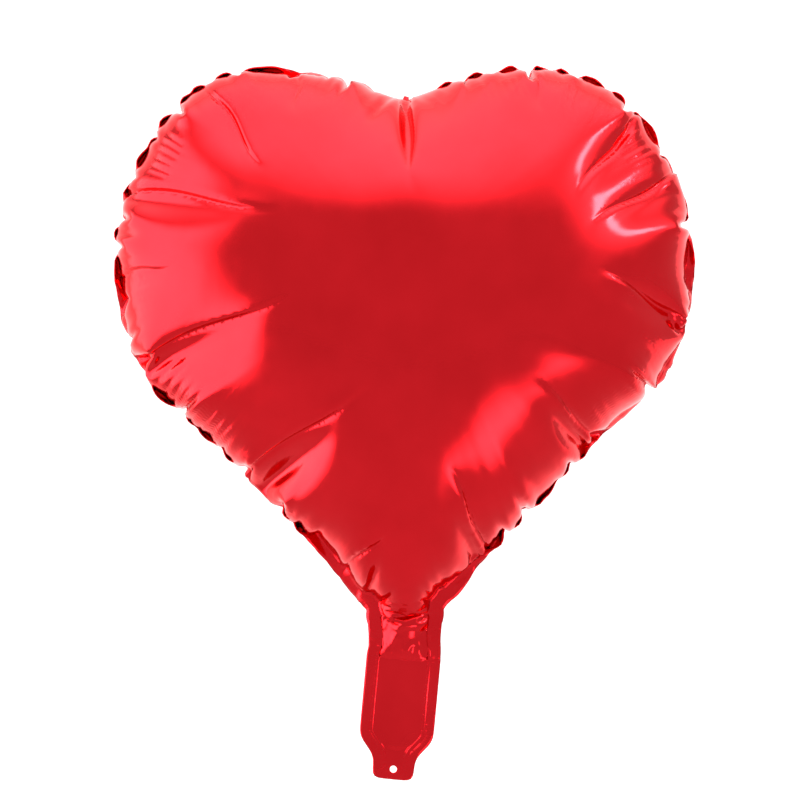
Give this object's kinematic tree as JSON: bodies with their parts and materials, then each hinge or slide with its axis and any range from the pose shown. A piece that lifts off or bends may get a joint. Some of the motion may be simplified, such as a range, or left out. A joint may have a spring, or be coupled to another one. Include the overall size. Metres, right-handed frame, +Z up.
{
  "type": "heart-shaped foil balloon",
  "caption": "Inflated heart-shaped metallic film balloon with a welded rim, a flat filling tail that folds at the neck, and a one-way film valve inside.",
  "frame": {"origin": "middle of the neck fold, where a ribbon or the cup of a stick holds the balloon", "axes": "+Z up, from the neck to the lobes; the front panel faces -Y; +X to the right as seen from the front"},
  "size_m": [0.35, 0.1918, 0.426],
  "materials": {
    "foil_red": "red mirror-metallised film",
    "valve_film": "clear glossy film",
    "release_print": "matt printed coating"
  },
  "bodies": {
    "envelope": {"front_panel": "foil_red", "back_panel": "foil_red", "neck_valve_front": "valve_film", "neck_valve_back": "valve_film", "valve_release_print": "release_print"},
    "tail": {"tail_front_foil": "foil_red", "tail_back_foil": "foil_red", "tail_valve_front": "valve_film", "tail_valve_back": "valve_film"},
    "front_lip": {"valve_front_lip": "valve_film"},
    "back_lip": {"valve_back_lip": "valve_film"}
  },
  "joints": [
    {"name": "tail_fold", "type": "hinge", "parent": "envelope", "child": "tail", "pos_m": [0, 0, 0], "axis": [1, 0, 0], "range_deg": [-90, 90]},
    {"name": "front_lip_open", "type": "hinge", "parent": "envelope", "child": "front_lip", "pos_m": [0, 0, 0.0112], "axis": [1, 0, 0], "range_deg": [0, 12], "stiffness_Nm_per_rad": 0.0005, "springref_deg": -11.46},
    {"name": "back_lip_open", "type": "hinge", "parent": "envelope", "child": "back_lip", "pos_m": [0, 0, 0.0112], "axis": [-1, 0, 0], "range_deg": [0, 12], "stiffness_Nm_per_rad": 0.0005, "springref_deg": -11.46}
  ],
  "couplings": [
    {"joint": "back_lip_open", "follows": "front_lip_open", "ratio": 1}
  ]
}
